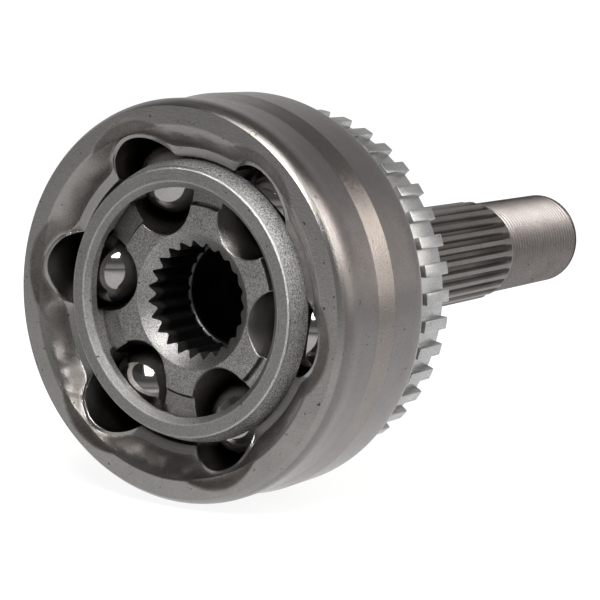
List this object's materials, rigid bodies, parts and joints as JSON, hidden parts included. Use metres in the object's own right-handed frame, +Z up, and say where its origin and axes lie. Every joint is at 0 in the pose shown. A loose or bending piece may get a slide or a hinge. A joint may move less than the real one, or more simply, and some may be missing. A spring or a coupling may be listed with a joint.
{
  "type": "constant-velocity joint",
  "caption": "Fixed ball-type wheel-side drive shaft joint: bell with splined, threaded stub axle, toothed sensor ring, cage, splined inner race and captive balls.",
  "frame": {"origin": "centre of the joint, where the spin axis meets the plane of the balls", "axes": "+Y along the spin axis from the open mouth to the threaded stub end, +Z up, +X to the right seen from the mouth"},
  "size_m": [0.0868, 0.1677, 0.0868],
  "materials": {
    "forged_steel": "turned and lightly satin, hardened steel",
    "zinc_plated_steel": "bright zinc plating",
    "cage_steel": "fine blasted, hardened steel",
    "race_steel": "fine blasted, hardened steel",
    "spring_steel": "oiled spring wire",
    "ball_steel": "polished bearing steel"
  },
  "bodies": {
    "outer_race": {"outer_race": "forged_steel", "abs_ring": "zinc_plated_steel"},
    "inner_race": {"inner_race": "race_steel", "circlip": "spring_steel"},
    "cage": {"cage": "cage_steel"},
    "ball_1": {"ball_1": "ball_steel"},
    "ball_2": {"ball_2": "ball_steel"},
    "ball_3": {"ball_3": "ball_steel"},
    "ball_4": {"ball_4": "ball_steel"},
    "ball_5": {"ball_5": "ball_steel"},
    "ball_6": {"ball_6": "ball_steel"}
  },
  "joints": [
    {"name": "articulate", "type": "hinge", "parent": "outer_race", "child": "inner_race", "pos_m": [0, 0, 0], "axis": [0.9843, 0, -0.1762], "range_deg": [-45, 45]},
    {"name": "cage_tilt", "type": "hinge", "parent": "outer_race", "child": "cage", "pos_m": [0, 0, 0], "axis": [0.9843, 0, -0.1762], "range_deg": [-22.6, 22.6]},
    {"name": "ball_1_travel", "type": "hinge", "parent": "outer_race", "child": "ball_1", "pos_m": [0, 0, 0], "axis": [0.9843, 0, -0.1762], "range_deg": [-22.6, 22.6]},
    {"name": "ball_2_travel", "type": "hinge", "parent": "outer_race", "child": "ball_2", "pos_m": [0, -0.0034, 0], "axis": [0.9406, 0, 0.3396], "range_deg": [-19.9, 19.9]},
    {"name": "ball_3_travel", "type": "hinge", "parent": "outer_race", "child": "ball_3", "pos_m": [0, -0.0034, 0], "axis": [0.7644, 0, -0.6448], "range_deg": [-19.9, 19.9]},
    {"name": "ball_4_travel", "type": "hinge", "parent": "outer_race", "child": "ball_4", "pos_m": [0, 0, 0], "axis": [0.9843, 0, -0.1762], "range_deg": [-22.6, 22.6]},
    {"name": "ball_5_travel", "type": "hinge", "parent": "outer_race", "child": "ball_5", "pos_m": [0, -0.0034, 0], "axis": [0.9406, 0, 0.3396], "range_deg": [-19.9, 19.9]},
    {"name": "ball_6_travel", "type": "hinge", "parent": "outer_race", "child": "ball_6", "pos_m": [0, -0.0034, 0], "axis": [0.7644, 0, -0.6448], "range_deg": [-19.9, 19.9]}
  ],
  "couplings": [
    {"joint": "cage_tilt", "follows": "articulate", "ratio": 0.5},
    {"joint": "ball_1_travel", "follows": "articulate", "ratio": 0.5},
    {"joint": "ball_2_travel", "follows": "articulate", "ratio": 0.4386},
    {"joint": "ball_3_travel", "follows": "articulate", "ratio": 0.4386},
    {"joint": "ball_4_travel", "follows": "articulate", "ratio": 0.5},
    {"joint": "ball_5_travel", "follows": "articulate", "ratio": 0.4386},
    {"joint": "ball_6_travel", "follows": "articulate", "ratio": 0.4386}
  ]
}
